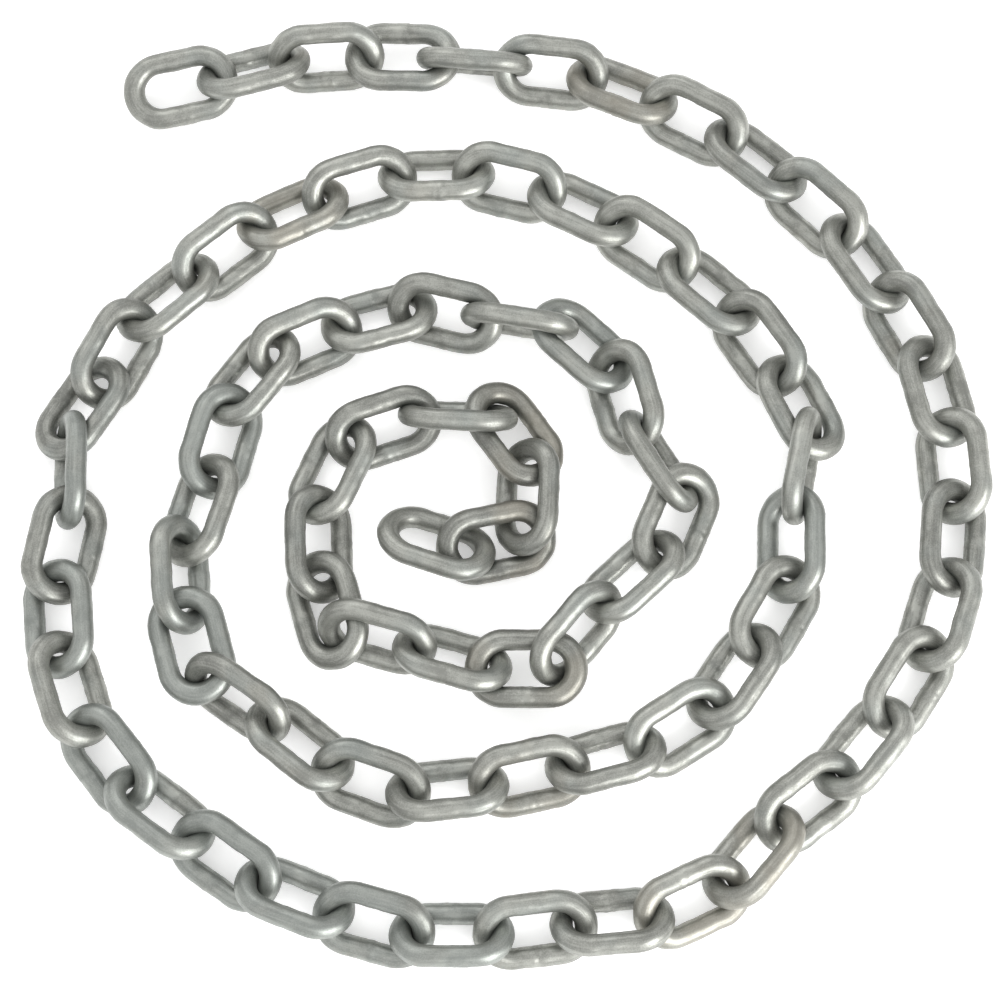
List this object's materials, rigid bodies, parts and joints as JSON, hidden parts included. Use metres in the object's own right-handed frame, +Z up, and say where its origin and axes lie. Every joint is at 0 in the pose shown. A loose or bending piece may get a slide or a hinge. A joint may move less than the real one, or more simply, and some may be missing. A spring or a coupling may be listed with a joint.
{
  "type": "link chain",
  "caption": "Length of galvanised welded steel link chain, laid out flat on the floor in a spiral, one link deep, with both ends free.",
  "frame": {"origin": "on the floor, under the middle of the outline of the laid-out chain", "axes": "+Z up from the floor, +Y towards the free outer end's side of the spiral (the top of the picture), +X to the picture's right"},
  "size_m": [0.2872, 0.29, 0.023],
  "materials": {
    "galvanised_zinc": "dull hot-dip galvanised, lightly mottled"
  },
  "bodies": {
    "root": {"links_01_02": "galvanised_zinc", "links_03_04": "galvanised_zinc", "links_05_06": "galvanised_zinc", "links_07_08": "galvanised_zinc", "links_09_10": "galvanised_zinc", "links_11_12": "galvanised_zinc", "links_13_14": "galvanised_zinc", "links_15_16": "galvanised_zinc", "links_17_18": "galvanised_zinc", "links_19_20": "galvanised_zinc", "links_21_22": "galvanised_zinc", "links_23_24": "galvanised_zinc", "links_25_26": "galvanised_zinc", "links_27_28": "galvanised_zinc", "links_29_30": "galvanised_zinc", "links_31_32": "galvanised_zinc", "links_33_34": "galvanised_zinc", "links_35_36": "galvanised_zinc", "links_37_38": "galvanised_zinc", "links_39_40": "galvanised_zinc", "links_41_42": "galvanised_zinc", "links_43_44": "galvanised_zinc", "links_45_46": "galvanised_zinc", "links_47_48": "galvanised_zinc", "links_49_50": "galvanised_zinc", "links_51_52": "galvanised_zinc", "links_53_54": "galvanised_zinc", "links_55_56": "galvanised_zinc", "links_57_58": "galvanised_zinc", "links_59_60": "galvanised_zinc", "links_61_62": "galvanised_zinc", "links_63_64": "galvanised_zinc", "links_65_66": "galvanised_zinc", "links_67_68": "galvanised_zinc", "links_69_70": "galvanised_zinc", "links_71_72": "galvanised_zinc", "links_73_74": "galvanised_zinc", "links_75_76": "galvanised_zinc", "links_77_78": "galvanised_zinc", "links_79_80": "galvanised_zinc", "links_81_82": "galvanised_zinc", "links_83_84": "galvanised_zinc"}
  },
  "joints": []
}
